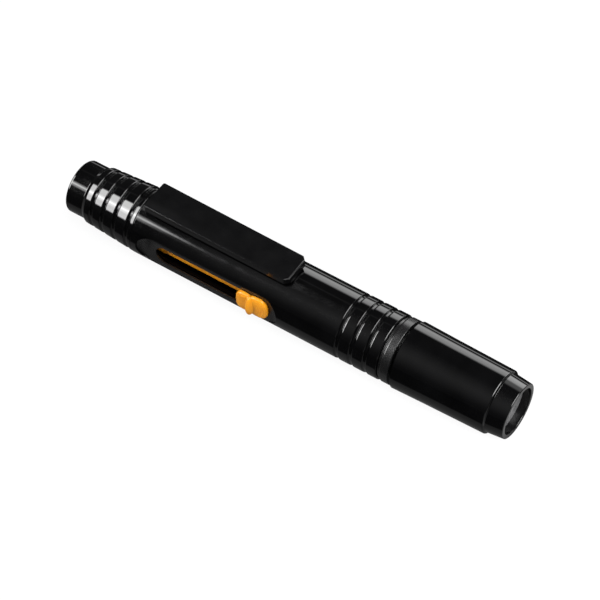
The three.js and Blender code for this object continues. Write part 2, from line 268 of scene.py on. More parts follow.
def matte_grey():
    """Spark-eroded matte plastic: a fine even grain."""
    s = Shader("matte_grey")
    deep, clouded = (0.0018, 0.0018, 0.0019), (0.0032, 0.0032, 0.0033)
    cloud = s.spread(s.noise(scale=0.3, detail=4.0), 0.0, 1.0)
    grain = s.noise(scale=11.0, detail=4.0, rough=0.65)
    peaks = s.spread(grain, 0.0, 1.0, start=0.5, stop=0.8)
    s.colour(s.blend(peaks, s.blend(cloud, deep, clouded), (0.005, 0.005, 0.005)))
    s.roughness(s.spread(grain, 0.2, 0.29))
    s.bump(s.maths("ADD", grain, s.cells(scale=9.0)), depth=0.007, strength=0.3)
    return s.material


def pale_grey():
    """Mid grey moulded plastic, softly clouded, with a fine even grain."""
    s = Shader("pale_grey")
    cloud = s.spread(s.noise(scale=0.6, detail=4.0), 0.0, 1.0)
    s.colour(s.blend(cloud, (0.06, 0.06, 0.061), (0.1, 0.1, 0.101)))
    grain = s.noise(scale=8.0, detail=4.0, rough=0.65)
    s.roughness(s.spread(grain, 0.4, 0.55))
    s.bump(grain, depth=0.01, strength=0.4)
    return s.material


def orange():
    """Bright moulded plastic with a soft sheen, a little depth and painted highlights in lighter
    patches.
    """
    s = Shader("orange")
    deep, clouded = (0.36, 0.13, 0.003), (0.43, 0.17, 0.005)
    cloud = s.spread(s.noise(scale=0.5, detail=4.0), 0.0, 1.0)
    # Painted highlights: lighter orange patches at random places in the colour.
    highlight_patches = s.spread(s.noise(scale=3.0, detail=4.0), 0.0, 0.3, start=0.5, stop=0.8)
    s.colour(s.blend(highlight_patches, s.blend(cloud, deep, clouded), (0.55, 0.27, 0.03)))
    s.roughness(s.spread(s.noise(scale=4.0, detail=3.0), 0.28, 0.42))
    s.bump(s.noise(scale=8.0, detail=3.0, rough=0.6), depth=0.01, strength=0.4)
    s.set("Specular IOR Level", 0.32)
    s.set("Subsurface Weight", 0.12)
    s.set("Subsurface Radius", (0.9 * MM, 0.4 * MM, 0.1 * MM))
    s.set("Subsurface Scale", 1.0)
    return s.material


def steel():
    """Brushed bright metal."""
    s = Shader("steel")
    lines = s.noise(scale=2.0, detail=5.0, rough=0.6, stretch=(14, 1, 1))
    s.colour(s.blend(s.spread(lines, 0.0, 1.0), (0.5, 0.5, 0.51), (0.66, 0.66, 0.67)))
    s.roughness(s.spread(lines, 0.22, 0.4))
    s.bump(lines, depth=0.006, strength=0.4)
    s.set("Metallic", 1.0)
    return s.material


def bristle():
    """Dark natural hair, paler and drier at some tips."""
    s = Shader("bristle")
    tone = s.spread(s.noise(scale=2.4, detail=3.0, rough=0.6, stretch=(0.2, 1, 1)), 0.0, 1.0)
    s.colour(s.blend(tone, (0.010, 0.008, 0.007), (0.05, 0.036, 0.026)))
    s.roughness(s.spread(s.noise(scale=3.0, detail=2.0), 0.4, 0.6))
    fibres = s.noise(scale=20.0, detail=2.0, rough=0.5, stretch=(0.3, 1, 1))
    s.bump(fibres, depth=0.004, strength=0.5)
    s.set("Sheen Weight", 0.25)
    return s.material


def rubber():
    """Soft black rubber with a powdery bloom."""
    s = Shader("rubber")
    bloom = s.spread(s.noise(scale=0.9, detail=5.0), 0.0, 1.0, start=0.4, stop=0.75)
    s.colour(s.blend(bloom, (0.008, 0.008, 0.008), (0.02, 0.02, 0.021)))
    s.roughness(s.spread(s.noise(scale=5.0, detail=4.0), 0.65, 0.85))
    s.bump(s.noise(scale=12.0, detail=3.0), depth=0.012, strength=0.5)
    return s.material


def suede():
    """Napped cleaning skin darkened by carbon."""
    s = Shader("suede")
    stained, clean = (0.018, 0.017, 0.016), (0.06, 0.055, 0.05)
    stain = s.spread(s.noise(scale=0.7, detail=5.0), 0.0, 1.0)
    nap = s.noise(scale=16.0, detail=5.0, rough=0.75)
    tips = s.spread(nap, 0.0, 0.5)
    s.colour(s.blend(tips, s.blend(stain, stained, clean), (0.1, 0.095, 0.088)))
    s.roughness(s.spread(nap, 0.82, 1.0))
    s.bump(nap, depth=0.05, strength=0.8)
    s.set("Sheen Weight", 0.4)
    return s.material


def carbon():
    """Felt loaded with carbon dust."""
    s = Shader("carbon")
    felt = s.noise(scale=7.0, detail=6.0, rough=0.7)
    s.colour(s.blend(s.spread(felt, 0.0, 1.0), (0.004, 0.004, 0.004), (0.02, 0.02, 0.02)))
    s.roughness(s.spread(felt, 0.85, 1.0))
    s.bump(felt, depth=0.06, strength=0.8)
    return s.material


MATERIALS = {make.__name__: make() for make in (
    gloss_black, satin_black, matte_grey, pale_grey, orange,
    steel, bristle, rubber, suede, carbon,
)}


# ---------------------------------------------------------------- mesh tools

MOST_OF_EDGE = 0.45  # a rounding takes up to this share of the edges beside it
SUPPORT_SHARE = 0.04  # and its support points up to this share


def rounded(points):
    """A profile of (x, radius, rounding) points with its corners rounded.

    A support point beside each arc keeps the shading of the straight parts flat.
    """
    count = len(points)
    result = []
    for i, (x, r, radius) in enumerate(points):
        here = Vector((x, r))
        before = Vector(points[i - 1][:2]) - here
        after = Vector(points[(i + 1) % count][:2]) - here
        on_axis = r == 0
        if radius == 0 or on_axis or before.length == 0 or after.length == 0:
            result.append((x, r))
            continue
        half = before.angle(after) / 2
        longest = min(before.length, after.length) * MOST_OF_EDGE
        reach = min(radius / math.tan(half), longest)
        actual = reach * math.tan(half)
        a, b = before.normalized(), after.normalized()
        centre = here + (a + b).normalized() * (actual / math.sin(half))
        first, last = here + a * reach - centre, here + b * reach - centre
        support = min(0.06, 0.1 * reach + 0.02)
        result.append(tuple(here + a * (reach + min(support, before.length * SUPPORT_SHARE))))
        turn = first.angle_signed(last)
        for k in range(ARC_STEPS + 1):
            angle = -turn * k / ARC_STEPS
            spun = Vector((
                first.x * math.cos(angle) - first.y * math.sin(angle),
                first.x * math.sin(angle) + first.y * math.cos(angle),
            ))
            result.append(tuple(centre + spun))
        result.append(tuple(here + b * (reach + min(support, after.length * SUPPORT_SHARE))))
    return result


def new_object(name, bm, sharp=SHARP_ANGLE):
    """A mesh object from a bmesh in millimetres, smooth except at its sharp edges."""
    bmesh.ops.recalc_face_normals(bm, faces=bm.faces)
    bmesh.ops.scale(bm, vec=(MM, MM, MM), verts=bm.verts)
    mesh = bpy.data.meshes.new(name)
    bm.to_mesh(mesh)
    bm.free()
    shade(mesh, sharp)
    obj = bpy.data.objects.new(name, mesh)
    bpy.context.collection.objects.link(obj)
    return obj


def shade(mesh, sharp=SHARP_ANGLE):
    mesh.shade_smooth()
    mesh.set_sharp_from_angle(angle=math.radians(sharp))


def turned_mesh(points, steps):
    """A solid of revolution. Its profile closes on itself, or starts and ends on the pen's axis."""
    bm = bmesh.new()
    rings = []
    for x, r in points:
        if r == 0:
            rings.append([bm.verts.new((x, AXIS_Y, AXIS_Z))])
            continue
        ring = []
        for k in range(steps):
            angle = 2 * math.pi * k / steps
            y = AXIS_Y + r * math.sin(angle)
            z = AXIS_Z + r * math.cos(angle)
            ring.append(bm.verts.new((x, y, z)))
        rings.append(ring)
    closed = points[0][1] != 0
    pairs = zip(rings, rings[1:] + rings[:1]) if closed else zip(rings, rings[1:])
    for first, second in pairs:
        for k in range(steps):
            n = (k + 1) % steps
            corners = [
                first[k % len(first)], first[n % len(first)],
                second[n % len(second)], second[k % len(second)],
            ]
            unique = list(dict.fromkeys(corners))
            if len(unique) > 2:
                bm.faces.new(unique)
    return bm


def turned(name, profile, steps=STEPS):
    return new_object(name, turned_mesh(rounded(profile), steps))


def loft(bm, rings):
    """Closes both ends of a row of rings and the sides between them."""
    bm.faces.new(rings[0])
    bm.faces.new(rings[-1])
    for first, second in zip(rings, rings[1:]):
        for i in range(len(first)):
            n = (i + 1) % len(first)
            bm.faces.new((first[i], first[n], second[n], second[i]))


def prism(name, outline, low, high):
    """A prism that faces -Y: (x, z offset) points between two distances from the axis."""
    bm = bmesh.new()
    loft(bm, [
        [bm.verts.new((x, AXIS_Y - distance, AXIS_Z + z)) for x, z in outline]
        for distance in (low, high)
    ])
    return new_object(name, bm)


def oval(start, stop, half_width, start_reach, stop_reach, steps=28):
    """A long outline along X whose ends are half-ellipses."""
    ends = ((stop - stop_reach, stop_reach, 1), (start + start_reach, start_reach, -1))
    points = []
    for centre, reach, side in ends:
        for k in range(steps + 1):
            angle = math.pi * (k / steps - 0.5)
            x = centre + side * reach * math.cos(angle)
            points.append((x, side * half_width * math.sin(angle)))
    return points


def grown_oval(start, stop, half_width, growth):
    """A long outline with round ends, grown by the same amount all round."""
    reach = half_width + growth
    return oval(start - growth, stop + growth, reach, reach, reach)


def block(name, low, high):
    """A box between two corners, given as x and the offsets from the axis in Y and Z."""
    bm = bmesh.new()
    bmesh.ops.create_cube(bm, size=1.0)
    size = [b - a for a, b in zip(low, high)]
    centre = [(a + b) / 2 for a, b in zip(low, high)]
    move = Matrix.Translation((centre[0], AXIS_Y + centre[1], AXIS_Z + centre[2]))
    bmesh.ops.transform(bm, matrix=move @ Matrix.Diagonal((*size, 1)), verts=bm.verts)
    return new_object(name, bm)


def settle(obj):
    """Applies an object's modifiers to its mesh."""
    evaluated = obj.evaluated_get(bpy.context.evaluated_depsgraph_get())
    mesh = bpy.data.meshes.new_from_object(evaluated)
    obj.modifiers.clear()
    obj.data = mesh
    shade(mesh)
    return obj


def combine(obj, operation, *others):
    """Joins, cuts or intersects an object with others, which are used up."""
    for other in others:
        modifier = obj.modifiers.new(operation, "BOOLEAN")
        modifier.operation = operation
        modifier.solver = "EXACT"
        modifier.object = other
    settle(obj)
    for other in others:
        bpy.data.objects.remove(other)
    return obj


def soften(obj, width, segments=3, angle=35):
    """Rounds every edge that is sharper than the given angle."""
    modifier = obj.modifiers.new("soften", "BEVEL")
    modifier.width = width * MM
    modifier.segments = segments
    modifier.limit_method = "ANGLE"
    modifier.angle_limit = math.radians(angle)
    modifier.harden_normals = False
    return settle(obj)


def true_round(obj, radius, tolerance=0.004):
    """Points the shading of an object's cylindrical faces straight out, however they are cut."""
    mesh = obj.data
    normals = [corner.vector.copy() for corner in mesh.corner_normals]
    for face in mesh.polygons:
        spokes = [mesh.vertices[v].co / MM - Vector((0, AXIS_Y, AXIS_Z)) for v in face.vertices]
        if all(abs(math.hypot(spoke.y, spoke.z) - radius) < tolerance for spoke in spokes):
            for loop, spoke in zip(face.loop_indices, spokes):
                normals[loop] = Vector((0, spoke.y, spoke.z)).normalized()
    mesh.normals_split_custom_set(normals)


def place(obj, node, body, slot):
    """Gives a finished piece its material and body, in place of its node in the frame."""
    obj.data.materials.clear()
    obj.data.materials.append(MATERIALS[slot])
    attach(obj, body)
    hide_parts(node)


# ---------------------------------------------------------------- pen body

GROOVE_HALF = 0.52
GROOVE_FLOOR = 0.42  # share of a groove's width that is floor
SPIGOT_R = 6.05  # the barrel's spigot, inside the nose sleeve
NOSE_SEAM = NOSE_STOP + GAP
WINDOW_START = PLATE_START - GAP
WINDOW_STOP = PLATE_STOP + GAP
WINDOW_HALF = FLAT * math.tan(math.pi / 6)
WINDOW_REACHES = (4.9, 4.0)  # how long the window's rounded ends are, at the nose and at the cap
SLOT_START = WINDOW_START + 4.8
SLOT_STOP = WINDOW_STOP - 2.7
SLOT_HALF = 2.5
SLOT_UNDERCUT = 0.6  # how much wider the slot is under its lip
SLOT_LIP = 0.35
OUTSIDE = BARREL_R + 2  # where a cutter is well clear of the barrel
CAP_LIP = 1.7  # length of the cap's narrower mouth


def groove(centre, depth, radius_at):
    """Four profile points of one rounded groove, crisper on its nose side."""
    floor = radius_at(centre) - depth
    inner = GROOVE_HALF * GROOVE_FLOOR
    crisp, soft, bottom = 0.24, 0.42, 0.02
    return [
        (centre - GROOVE_HALF, radius_at(centre - GROOVE_HALF), crisp),
        (centre - inner, floor, bottom),
        (centre + inner, floor, bottom),
        (centre + GROOVE_HALF, radius_at(centre + GROOVE_HALF), soft),
    ]


def clip_socket(name):
    """The hole in the barrel that the clip's tongue goes through."""
    start = span("pocket_clip")[0][0] + 0.6
    length, half_width, bottom = 2.8, 2.0, 2.8
    return block(name, (start, -half_width, bottom), (start + length, half_width, OUTSIDE))


def make_barrel():
    groove_depth, seat_depth, slot_bottom = 0.38, 1.2, 3
    grooves = [BARREL_STOP - d for d in (10.05, 6.55, 3.05)]
    shoulder = NOSE_SEAM - GAP + SEAM
    profile = [
        (SPIGOT_START, SPIGOT_R, 0.1),
        (shoulder, SPIGOT_R, 0),
        (shoulder, BARREL_R, 0.12),
        *[p for x in grooves for p in groove(x, groove_depth, lambda _: BARREL_R)],
        (BARREL_STOP, BARREL_R, 0.28),
        (BARREL_STOP, BORE_R, 0.1),
        (NOSE_SEAM + 1, BORE_R, 0),
        (NOSE_SEAM, NOSE_BORE_R, 0),
        (SPIGOT_START, NOSE_BORE_R, 0.1),
    ]
    barrel = turned("barrel_shell", profile)
    window = oval(WINDOW_START, WINDOW_STOP, WINDOW_HALF, *WINDOW_REACHES)
    slot = grown_oval(SLOT_START, SLOT_STOP, SLOT_HALF, SLOT_UNDERCUT)
    combine(
        barrel, "DIFFERENCE",
        prism("window_cutter", window, FLAT - seat_depth, OUTSIDE),
        prism("slot_cutter", slot, slot_bottom, OUTSIDE),
        clip_socket("clip_cutter"),
    )
    true_round(barrel, BARREL_R)
    place(barrel, "barrel", "pen_body", "gloss_black")


def scoop(name, ramp=1.3, layers=10):
    """What is cut away over the slider flat: a long oval whose ends curve up to the barrel."""
    past_top, past_end, past_side = 0.4, 0.1, 0.6
    depth = BARREL_R - FLAT
    height = depth + past_top
    bm = bmesh.new()
    rings = []
    for k in range(layers + 1):
        rise = height * k / layers
        lift = min(rise / depth, 1.0)
        inset = ramp * (1 - math.sqrt(1 - (1 - lift) ** 2))
        outline = oval(
            WINDOW_START + inset - past_end, WINDOW_STOP - inset + past_end,
            WINDOW_HALF + past_side, *WINDOW_REACHES,
        )
        rings.append([bm.verts.new((x, AXIS_Y - FLAT - rise, AXIS_Z + z)) for x, z in outline])
    loft(bm, rings)
    return new_object(name, bm)


def make_slot_plate():
    """The matte inlay: an oval cut flat, dished at its ends and slotted, over a wider hollow."""
    thickness, skin = 0.9, 0.02
    reaches = [reach - SEAM for reach in WINDOW_REACHES]
    outline = oval(WINDOW_START + SEAM, WINDOW_STOP - SEAM, WINDOW_HALF - SEAM, *reaches)
    plate = prism("slot_inlay", outline, FLAT - thickness, BARREL_R + 1)
    rod_start, rod_stop, rod_r = WINDOW_START - 2, WINDOW_STOP + 2, BARREL_R - skin
    rod = turned("plate_rod", [
        (rod_start, 0, 0), (rod_start, rod_r, 0), (rod_stop, rod_r, 0), (rod_stop, 0, 0),
    ])
    combine(plate, "INTERSECT", rod)
    slot = prism("plate_slot", grown_oval(SLOT_START, SLOT_STOP, SLOT_HALF, 0), 0, OUTSIDE)
    wider = grown_oval(SLOT_START, SLOT_STOP, SLOT_HALF, SLOT_UNDERCUT)
    under = prism("plate_undercut", wider, 0, FLAT - SLOT_LIP)
    combine(plate, "DIFFERENCE", scoop("plate_scoop"), slot, under)
    soften(plate, width=0.09, angle=60)
    place(plate, "slot_plate", "pen_body", "matte_grey")


def make_nose():
    collar_r, collar_stop = 6.27, NOSE_START + 4.6
    rib_start, rib_r, rib_taper = NOSE_START + 5.5, 6.82, 0.062
    groove_depth = 0.42
    socket_r, socket_start = SPIGOT_R + 0.1, NOSE_SEAM - 6.05
    mouth_r, mouth_stop = 4.8, NOSE_START + 1.4

    def radius_at(x):
        return min(rib_r + rib_taper * (x - rib_start), BARREL_R - 0.02)

    grooves = [NOSE_START + d for d in (7.35, 10.4, 13.7, 17.25)]
    profile = [
        (NOSE_START, collar_r, 0.5),
        (collar_stop, collar_r, 0.25),
        (rib_start, radius_at(rib_start), 0.3),
        *[p for x in grooves for p in groove(x, groove_depth, radius_at)],
        (NOSE_STOP, radius_at(NOSE_STOP), 0.12),
        (NOSE_STOP, socket_r, 0),
        (socket_start, socket_r, 0),
        (socket_start, NOSE_BORE_R, 0),
        (mouth_stop, NOSE_BORE_R, 0.1),
        (mouth_stop, mouth_r, 0.1),
        (NOSE_START, mouth_r, 0.3),
    ]
    nose = turned("nose_ribbed", profile)
    place(nose, "nose_sleeve", "pen_body", "gloss_black")


def make_clip():
    """A flat spring plate, thicker at its root, on a foot with a tongue through the barrel."""
    (start, low_y, _), (stop, high_y, _) = span("pocket_clip")
    half = (high_y - low_y) / 2
    length = stop - start
    corner, root_corner = 0.95, 0.25
    root_thickness, tip_thickness = 1.9, 1.62
    root_height, tip_height = 10.05, 9.35
    edge_back = 0.61
    # Layers from the top down: the share of the thickness, and how far the end stands back there.
    # The first step is the shallow facet that catches the light along the end.
    layers = [(0.0, 0.95), (0.07, edge_back), (0.8, 0.3), (1.0, 0.75)]
    bm = bmesh.new()
    rings = []
    for share, back in layers:
        end = length - back
        nip = corner + edge_back - back  # keeps the corners upright down to the facet's lower edge
        outline = [
            (0, -half + root_corner), (root_corner, -half), (end - nip, -half), (end, nip - half),
            (end, half - nip), (end - nip, half), (root_corner, half), (0, half - root_corner),
        ]
        rings.append([bm.verts.new((
            x, y, -share * (root_thickness - (root_thickness - tip_thickness) * x / length),
        )) for x, y in outline])
    loft(bm, rings)
    slope = Matrix.Rotation(math.atan2(root_height - tip_height, length), 4, "Y")
    move = Matrix.Translation((start, AXIS_Y, AXIS_Z + root_height)) @ slope
    bmesh.ops.transform(bm, matrix=move, verts=bm.verts)
    clip = new_object("clip_plate", bm)
    foot_half, foot_bottom, foot_top = 3.7, 5.5, root_height - root_thickness / 2
    foot = block(
        "clip_foot", (start + 0.3, -foot_half, foot_bottom), (start + 2.9, foot_half, foot_top),
    )
    clear = BARREL_R + 0.14  # room for the foot to rock when the clip flexes
    shaft_start, shaft_stop = start - 1, start + 5
    shaft = turned("foot_shaft", [
        (shaft_start, 0, 0), (shaft_start, clear, 0), (shaft_stop, clear, 0), (shaft_stop, 0, 0),
    ])
    combine(foot, "DIFFERENCE", shaft)
    tongue_half, tongue_bottom, tongue_top = 1.6, 6.3, BARREL_R + 0.5
    tongue = block(
        "clip_tongue",
        (start + 0.7, -tongue_half, tongue_bottom), (start + 2.7, tongue_half, tongue_top),
    )
    combine(clip, "UNION", foot, tongue)
    soften(clip, width=0.17, segments=8, angle=30)
    shade(clip.data, 13)
    place(clip, "pocket_clip", "clip", "satin_black")


def make_neck_plug():
    """The plug that closes the barrel. The rim of its flange is the matte band beside the cap."""
    (start, _, _), (stop, _, _) = span("neck_plug")
    flange_start, flange_r = BARREL_STOP + SEAM * 2, BARREL_R - 0.5
    band_start, band_stop, band_r = BARREL_STOP + 0.85, CAP_START - 0.8, BARREL_R - SEAM
    chamfer = 0.22
    root = CAP_START + CAP_LIP - GAP
    stem_hole = STEM_R + GAP
    profile = [
        (start, 0, 0),
        (start, NECK_R, 0.2),
        (flange_start, NECK_R, 0),
        (flange_start, flange_r, 0),
        (band_start - chamfer, flange_r, 0.1),
        (band_start, band_r, 0.45),
        (band_stop, band_r, 0.14),
        (band_stop, NECK_R, 0.1),
        (stop, NECK_R, 0.3),
        (stop, stem_hole, 0.1),
        (root, stem_hole, 0),
        (root, 0, 0),
    ]
    plug = turned("neck_band", profile)
    place(plug, "neck_plug", "pen_body", "matte_grey")


# ---------------------------------------------------------------- cleaning tip

def make_tip():
    """The soft ribbed stem, the cup on it, its foam cushion and the cleaning skin."""
    (stem_start, _, _), (stem_stop, _, _) = span("tip_stem")
    (head_start, _, _), (head_stop, _, _) = span("tip_head")
    ribs_start = span("neck_plug")[1][0] + 0.6
    waist_r, rib_r = STEM_R - 0.5, STEM_R - 0.1
    rib_count = 3
    pitch = (head_start - ribs_start - 0.6) / rib_count
    ribs = []
    for k in range(rib_count):
        x = ribs_start + k * pitch
        ribs += [
            (x + pitch * 0.25, waist_r, 0.1),
            (x + pitch * 0.75, waist_r, 0.1),
            (x + pitch, rib_r, 0.15),
        ]
    stem = turned("tip_stem_soft", [
        (stem_start, 0, 0), (stem_start, STEM_R, 0.2), (ribs_start, STEM_R, 0.15),
        *ribs, (stem_stop, rib_r, 0.1), (stem_stop, 0, 0),
    ], SMALL_STEPS)
    place(stem, "tip_stem", "pen_body", "rubber")
    throat_r, shoulder_r, cup_r = STEM_R + 0.9, 3.9, 4.3
    hole_r, hole_stop = STEM_R + 0.05, stem_stop + 0.1
    head = turned("tip_cup", [
        (head_start, throat_r, 0.2),
        (head_start + 0.55, shoulder_r, 0.4),
        (head_start + 1.1, cup_r, 0.2),
        (head_stop, cup_r, 0.25),
        (head_stop, 0, 0),
        (hole_stop, 0, 0),
        (hole_stop, hole_r, 0),
        (head_start, hole_r, 0.1),
    ], SMALL_STEPS)
    place(head, "tip_head", "pen_body", "satin_black")
    (foam_start, _, _), (foam_stop, _, _) = span("tip_cushion")
    face, back = head_stop + 0.02, foam_stop + 0.2
    foam_r, bulge_r = 3.95, 4.12
    cushion = turned("tip_foam", [
        (face, 0, 0), (face, foam_r, 0.2), ((foam_start + foam_stop) / 2, bulge_r, 0.4),
        (back, foam_r, 0.2), (back, 0, 0),
    ], SMALL_STEPS)
    place(cushion, "tip_cushion", "pen_body", "rubber")
    (pad_start, _, _), (pad_stop, _, _) = span("tip_pad")
    dish_floor = pad_stop - 0.4
    pad = turned("tip_skin", [
        (pad_start, 0, 0),
        (pad_start, 4.1, 0.2),
        (pad_start + 0.3, 4.38, 0.3),
        (pad_stop, 4.2, 0.3),
        (pad_stop - 0.1, 3.6, 0.3),
        (pad_stop - 0.3, 2.0, 1.5),
        (dish_floor, 0.6, 1.0),
        (dish_floor, 0, 0),
    ], SMALL_STEPS)
    place(pad, "tip_pad", "pen_body", "suede")


# ---------------------------------------------------------------- slider and brush

(BUTTON_START, _, _), (BUTTON_STOP, _, _) = span("thumb_button")
BUTTON_X = (BUTTON_START + BUTTON_STOP) / 2
RIDGE_X = BUTTON_X - 0.25
# The button's forms: centre as x, height over the flat and z offset, half sizes, how square
BUTTON_FORMS = {
    "nose lobe": ((BUTTON_START + 2.4, 0.42, 0), (2.1, 0.85, 2.7), 3.0),
    "cap lobe": ((BUTTON_STOP - 2.95, 0.42, 0), (2.65, 0.85, 2.95), 2.6),
    "ridge": ((RIDGE_X, 0.95, 0), (1.0, 1.35, 2.85), 2.0),
}
BUTTON_VOXEL = 0.09


def lobe(bm, centre, size, square):
    """Adds one rounded form. It is an ellipsoid at a squareness of 2 and boxier above that."""
    x, height, z = centre
    ball = bmesh.ops.create_icosphere(bm, subdivisions=5, radius=1.0)
    for vertex in ball["verts"]:
        reach = sum(abs(v) ** square for v in vertex.co) ** (1 / square)
        vertex.co = [v * half / reach for v, half in zip(vertex.co, size)]
        vertex.co += Vector((x, AXIS_Y - FLAT - height, AXIS_Z + z))


def make_button():
    """Two thumb lobes with a raised bar between them, melted into one moulded form."""
    bm = bmesh.new()
    for form in BUTTON_FORMS.values():
        lobe(bm, *form)
    button = new_object("button_form", bm)
    remesh = button.modifiers.new("melt", "REMESH")
    remesh.mode = "VOXEL"
    remesh.voxel_size = BUTTON_VOXEL * MM
    settle(button)
    past = 1
    base = block(
        "button_trim", (BUTTON_START - past, -FLAT - SEAM, -5), (BUTTON_STOP + past, 0, 5),
    )
    combine(button, "DIFFERENCE", base)
    smooth = button.modifiers.new("smooth", "SMOOTH")
    smooth.iterations = 8
    smooth.factor = 0.6
    settle(button)
    rib_lobe(button)
    neck_half, neck_top, neck_root = 1.5, -FLAT - 0.5, -3.4
    neck = block(
        "button_neck",
        (BUTTON_X - 2.2, neck_top, -neck_half), (BUTTON_X + 2.3, neck_root, neck_half),
    )
    combine(button, "UNION", neck)
    place(button, "thumb_button", "brush_slider", "orange")


def rib_lobe(button, pitch=0.62, depth=0.05):
    """Presses shallow arcs into the cap end of the button, round the raised bar."""
    arcs_start, fade_length = 1.6, 0.4
    for vertex in button.data.vertices:
        x, _, z = vertex.co / MM
        reach = math.hypot(x - RIDGE_X, z - AXIS_Z)
        fade = min(max((x - RIDGE_X - arcs_start) / fade_length, 0.0), 1.0)
        wave = max(0.0, math.cos(2 * math.pi * reach / pitch))
        vertex.co.y += fade * depth * wave * MM


def make_carriage():
    """The stem seen through the slot, with a disc at the brush and a shoe under the button."""
    (start, _, _), (stop, _, _) = span("brush_carriage")
    shoe_half, shoe_top, shoe_bottom = 4.6, -4.6, -1
    stem_half, stem_bottom = 1.8, -2.4
    centre = stop - shoe_half
    stem = block("slide_stem", (start + 1, shoe_top, -stem_half), (centre, stem_bottom, stem_half))
    soften(stem, width=0.35, segments=4)
    disc_r, disc_stop = 4.9, start + 2.5
    disc = turned("slide_disc", [
        (start, 0, 0), (start, disc_r, 0.3), (disc_stop, disc_r, 0.3), (disc_stop, 0, 0),
    ], SMALL_STEPS)
    shoe_start = centre - shoe_half
    shoe = turned("slide_shoe", [
        (shoe_start, 0, 0), (shoe_start, NECK_R, 0.3), (stop, NECK_R, 0.3), (stop, 0, 0),
    ], SMALL_STEPS)
    past = 9
    socket_half, socket_bottom = 2.7, -3.1
    top = block("shoe_top", (centre - past, -past, -past), (centre + past, shoe_top, past))
    hollow = block("shoe_hollow", (centre - past, shoe_bottom, -past), (centre + past, past, past))
    socket = block(
        "shoe_socket",
        (centre - socket_half, -past, -stem_half), (centre + socket_half, socket_bottom, stem_half),
    )
    combine(shoe, "DIFFERENCE", top, hollow)
    combine(stem, "UNION", disc, shoe)
    combine(stem, "DIFFERENCE", socket)
    place(stem, "brush_carriage", "brush_slider", "orange")


def make_leaf():
    """The arched leaf spring under the carriage."""
    (start, low_y, low_z), (stop, high_y, high_z) = span("detent_leaf")
    count, thickness = 32, 0.2
    over, under = 0.01, 0.1
    length, rise = stop - start, high_y - low_y
    bm = bmesh.new()
    rows = []
    for k in range(count + 1):
        u = k / count
        x = start + length * u
        y = low_y + rise * 4 * u * (1 - u)
        outer, inner = y + over, max(y - thickness, low_y) - under
        rows.append([bm.verts.new(p) for p in (
            (x, outer, low_z), (x, outer, high_z), (x, inner, high_z), (x, inner, low_z),
        )])
    loft(bm, rows)
    leaf = new_object("slide_leaf", bm)
    place(leaf, "detent_leaf", "brush_slider", "steel")


def make_brush():
    """The crimped metal ferrule, and the hair in it."""
    (start, _, _), (stop, _, _) = span("brush_ferrule")
    radius, wall = 4.4, 0.5
    crimp_half, crimp_r = 0.28, radius - 0.2
    crimps = [p for x in (start + 1.1, start + 2.1) for p in (
        (x - crimp_half, radius, 0.12), (x, crimp_r, 0.16), (x + crimp_half, radius, 0.12),
    )]
    ferrule = turned("ferrule_crimped", [
        (start, radius, 0.15), *crimps, (stop, radius, 0.15), (stop, 0, 0), (stop - wall, 0, 0),
        (stop - wall, radius - wall, 0), (start, radius - wall, 0.15),
    ], SMALL_STEPS)
    place(ferrule, "brush_ferrule", "brush_slider", "steel")
    (tip, _, _), (root, _, _) = span("brush_bristles")
    make_hair(tip, root, start)


def make_hair(tip, root, mouth, hairs=760, rings=7, sides=4):
    """The tuft: tapered hairs that leave the ferrule, belly out and close to a soft dome."""
    golden_angle = math.pi * (3 - math.sqrt(5))
    dome, ragged, sway, stray = 2.6, 0.9, 0.18, 0.1
    root_r, bulge, closing = 3.45, 0.75, 0.9
    hair_r, taper = 0.085, 0.75
    random.seed(SEED)
    bm = bmesh.new()
    for i in range(hairs):
        share = math.sqrt((i + 0.5) / hairs)
        around = i * golden_angle + random.uniform(-stray, stray)
        end_x = tip + dome * share ** 2 + random.uniform(0, ragged)
        lean = random.uniform(-sway, sway)
        rows = []
        for k in range(rings):
            x = root + (end_x - root) * k / (rings - 1)
            free = max(0.0, (mouth - x) / (mouth - tip))
            belly = root_r + bulge * math.sin(math.pi * min(free * 1.15, 1.0)) - closing * free ** 3
            spread = share * belly
            angle = around + lean * free ** 2
            thick = hair_r * (1 - taper * free ** 2)
            y = AXIS_Y + spread * math.sin(angle)
            z = AXIS_Z + spread * math.cos(angle)
            rows.append([bm.verts.new((
                x,
                y + thick * math.sin(2 * math.pi * s / sides),
                z + thick * math.cos(2 * math.pi * s / sides),
            )) for s in range(sides)])
        loft(bm, rows)
    tuft = new_object("bristle_tuft", bm, 80)
    place(tuft, "brush_bristles", "brush_slider", "bristle")


# ---------------------------------------------------------------- cap

RECESS_DEPTH = 2.0
RECESS_R = 5.4


